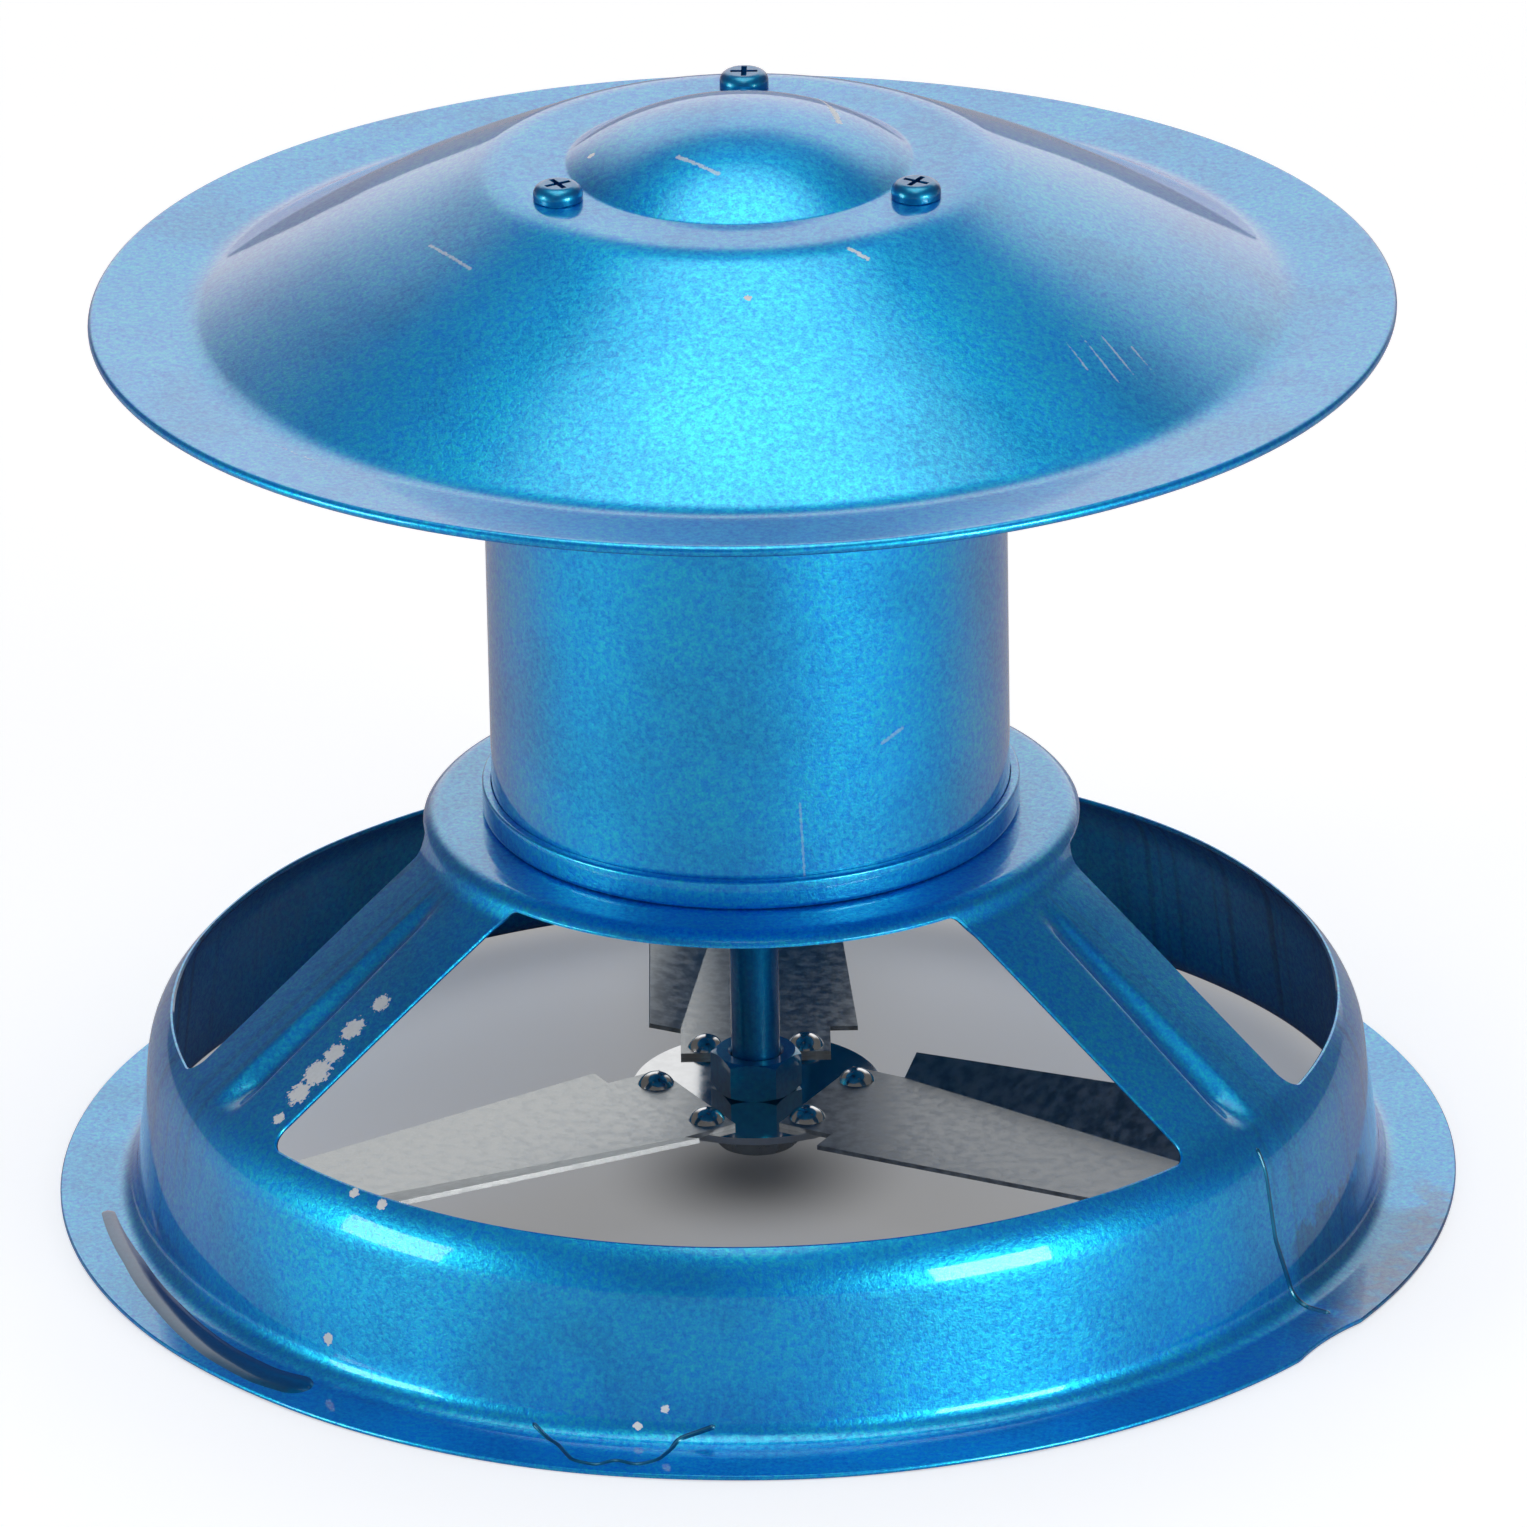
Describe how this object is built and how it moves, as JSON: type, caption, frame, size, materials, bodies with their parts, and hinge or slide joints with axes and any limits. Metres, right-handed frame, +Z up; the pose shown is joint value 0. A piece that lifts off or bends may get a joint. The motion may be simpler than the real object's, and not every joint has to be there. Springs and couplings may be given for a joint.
{
  "type": "chimney draught fan",
  "caption": "Chimney-top draught fan: pressed base with open legs, upright motor tube under a domed rain cap, and folded sheet blades riveted to a hub plate below.",
  "frame": {"origin": "centre of the flange's underside, on the fan's axis", "axes": "+Z up along the shaft towards the cap, +Y towards the leg at the back"},
  "size_m": [0.23, 0.23, 0.187],
  "materials": {
    "blue_paint": "glossy metallic blue paint over pressed steel, with runs and small chips",
    "cast_aluminium": "as cast",
    "zinc": "zinc plated",
    "rivet_steel": "bright plated",
    "polished_steel": "polished",
    "galvanised_sheet": "dull galvanised with faint spangle and scratches",
    "lamination_steel": "stacked electrical sheet",
    "enamelled_copper": "varnished winding",
    "black_rubber": "matt",
    "bearing_steel": "ground"
  },
  "bodies": {
    "housing": {"base_shell": "blue_paint", "lower_end_cover": "blue_paint", "casing": "blue_paint", "upper_end_cover": "cast_aluminium", "cap": "blue_paint", "tie_screws": "blue_paint", "tie_washers": "zinc", "tie_nuts": "zinc", "stator_core": "lamination_steel", "coil_1": "enamelled_copper", "coil_2": "enamelled_copper", "coil_3": "enamelled_copper", "coil_4": "enamelled_copper", "shading_rings": "enamelled_copper", "cable_grommet": "black_rubber", "lower_bearing_outer_ring": "bearing_steel", "lower_bearing_balls": "bearing_steel", "lower_bearing_cage": "zinc", "upper_bearing_outer_ring": "bearing_steel", "upper_bearing_balls": "bearing_steel", "upper_bearing_cage": "zinc", "wave_washer": "bearing_steel"},
    "fan": {"shaft": "blue_paint", "rotor_core": "lamination_steel", "rotor_cage": "cast_aluminium", "lower_bearing_inner_ring": "bearing_steel", "upper_bearing_inner_ring": "bearing_steel", "hub_plate": "polished_steel", "fan_blade_1": "galvanised_sheet", "fan_blade_2": "galvanised_sheet", "fan_blade_3": "galvanised_sheet", "blade_rivets": "rivet_steel", "upper_hub_nut": "blue_paint", "spring_washer": "zinc", "lower_hub_nut": "zinc"}
  },
  "joints": [
    {"name": "fan_spin", "type": "hinge", "parent": "housing", "child": "fan", "pos_m": [0, 0, 0], "axis": [0, 0, 1], "continuous": true}
  ]
}
